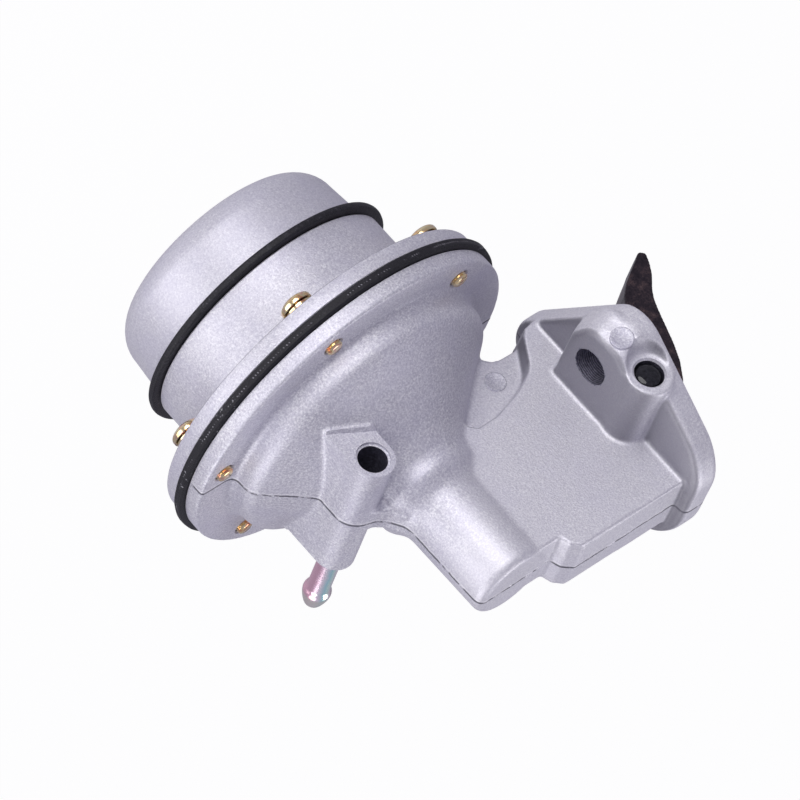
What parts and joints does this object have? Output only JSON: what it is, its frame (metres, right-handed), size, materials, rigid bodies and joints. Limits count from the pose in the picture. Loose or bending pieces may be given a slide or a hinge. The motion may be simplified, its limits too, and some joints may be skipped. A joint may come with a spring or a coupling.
{
  "type": "mechanical fuel pump",
  "caption": "Mechanical diaphragm fuel pump: cast body with bolt flange, pivoting cam-driven rocker arm, link and pull rod, valve body with side ports and a domed cover.",
  "frame": {"origin": "middle of the two mounting bolt holes, on the mounting face", "axes": "+X out of the mounting face into the engine, +Z along the round stack's axis from the cover towards the nose, +Y towards the side with the drilled vent boss"},
  "size_m": [0.152, 0.1078, 0.1367],
  "materials": {
    "cast_aluminium": "fine-grained die casting",
    "black_rubber": "moulded",
    "fabric_rubber": "fabric-reinforced sheet",
    "yellow_zinc": "yellow zinc plating",
    "clear_zinc": "clear zinc plating",
    "forged_steel": "dark oxide over a forged skin",
    "bright_steel": "bright",
    "black_steel": "gloss black",
    "bronze": "sintered bearing metal",
    "brass": "bright"
  },
  "bodies": {
    "housing": {"lower_body": "cast_aluminium", "valve_body": "cast_aluminium", "top_cover": "cast_aluminium", "cover_gasket": "black_rubber", "main_diaphragm": "fabric_rubber", "flange_screw_1": "yellow_zinc", "flange_screw_2": "yellow_zinc", "flange_screw_3": "yellow_zinc", "flange_screw_4": "yellow_zinc", "flange_screw_5": "yellow_zinc", "flange_screw_6": "yellow_zinc", "lock_washer_1": "yellow_zinc", "lock_washer_2": "yellow_zinc", "lock_washer_3": "yellow_zinc", "lock_washer_4": "yellow_zinc", "lock_washer_5": "yellow_zinc", "lock_washer_6": "yellow_zinc", "cover_bolt": "yellow_zinc", "cover_washer": "yellow_zinc", "hose_nipple": "clear_zinc", "rod_seal": "black_rubber", "seal_retainer": "bright_steel", "diaphragm_spring": "bright_steel", "return_spring": "bright_steel", "pivot_pin": "bright_steel", "pin_plug_right": "black_steel", "pin_plug_left": "black_steel", "inlet_valve_seat": "brass", "inlet_valve_cage": "brass", "inlet_valve_spring": "bright_steel", "outlet_valve_seat": "brass", "outlet_valve_cage": "brass", "outlet_valve_spring": "bright_steel"},
    "rocker": {"rocker_arm": "forged_steel", "arm_bushing": "bronze"},
    "link": {"rocker_link": "forged_steel"},
    "rod": {"pull_rod": "bright_steel", "rod_nut": "bright_steel", "upper_diaphragm_plate": "bright_steel", "lower_diaphragm_plate": "bright_steel"},
    "inlet_disc": {"inlet_valve_disc": "black_rubber"},
    "outlet_disc": {"outlet_valve_disc": "black_rubber"}
  },
  "joints": [
    {"name": "rocker_pivot", "type": "hinge", "parent": "housing", "child": "rocker", "pos_m": [-0.0077, 0, 0.0132], "axis": [0, 1, 0], "range_deg": [0, 7.5], "stiffness_Nm_per_rad": 1.2, "springref_deg": -5.73, "deforming": ["return_spring"]},
    {"name": "link_pivot", "type": "hinge", "parent": "housing", "child": "link", "pos_m": [-0.0077, 0, 0.0132], "axis": [0, 1, 0], "range_deg": [0, 7.6]},
    {"name": "rod_slide", "type": "slide", "parent": "housing", "child": "rod", "axis": [0, 0, 1], "range_m": [0, 0.0072], "deforming": ["diaphragm_spring", "main_diaphragm"]},
    {"name": "inlet_valve_lift", "type": "slide", "parent": "housing", "child": "inlet_disc", "axis": [0, 0, 1], "range_m": [0, 0.0012], "stiffness_N_per_m": 60, "springref_m": -0.0006, "deforming": ["inlet_valve_spring"]},
    {"name": "outlet_valve_lift", "type": "slide", "parent": "housing", "child": "outlet_disc", "axis": [0, 0, -1], "range_m": [0, 0.0012], "stiffness_N_per_m": 60, "springref_m": -0.0006, "deforming": ["outlet_valve_spring"]}
  ],
  "couplings": [
    {"joint": "link_pivot", "follows": "rocker_pivot", "ratio": 1},
    {"joint": "rod_slide", "follows": "rocker_pivot", "m_per_rad": 0.0543}
  ]
}
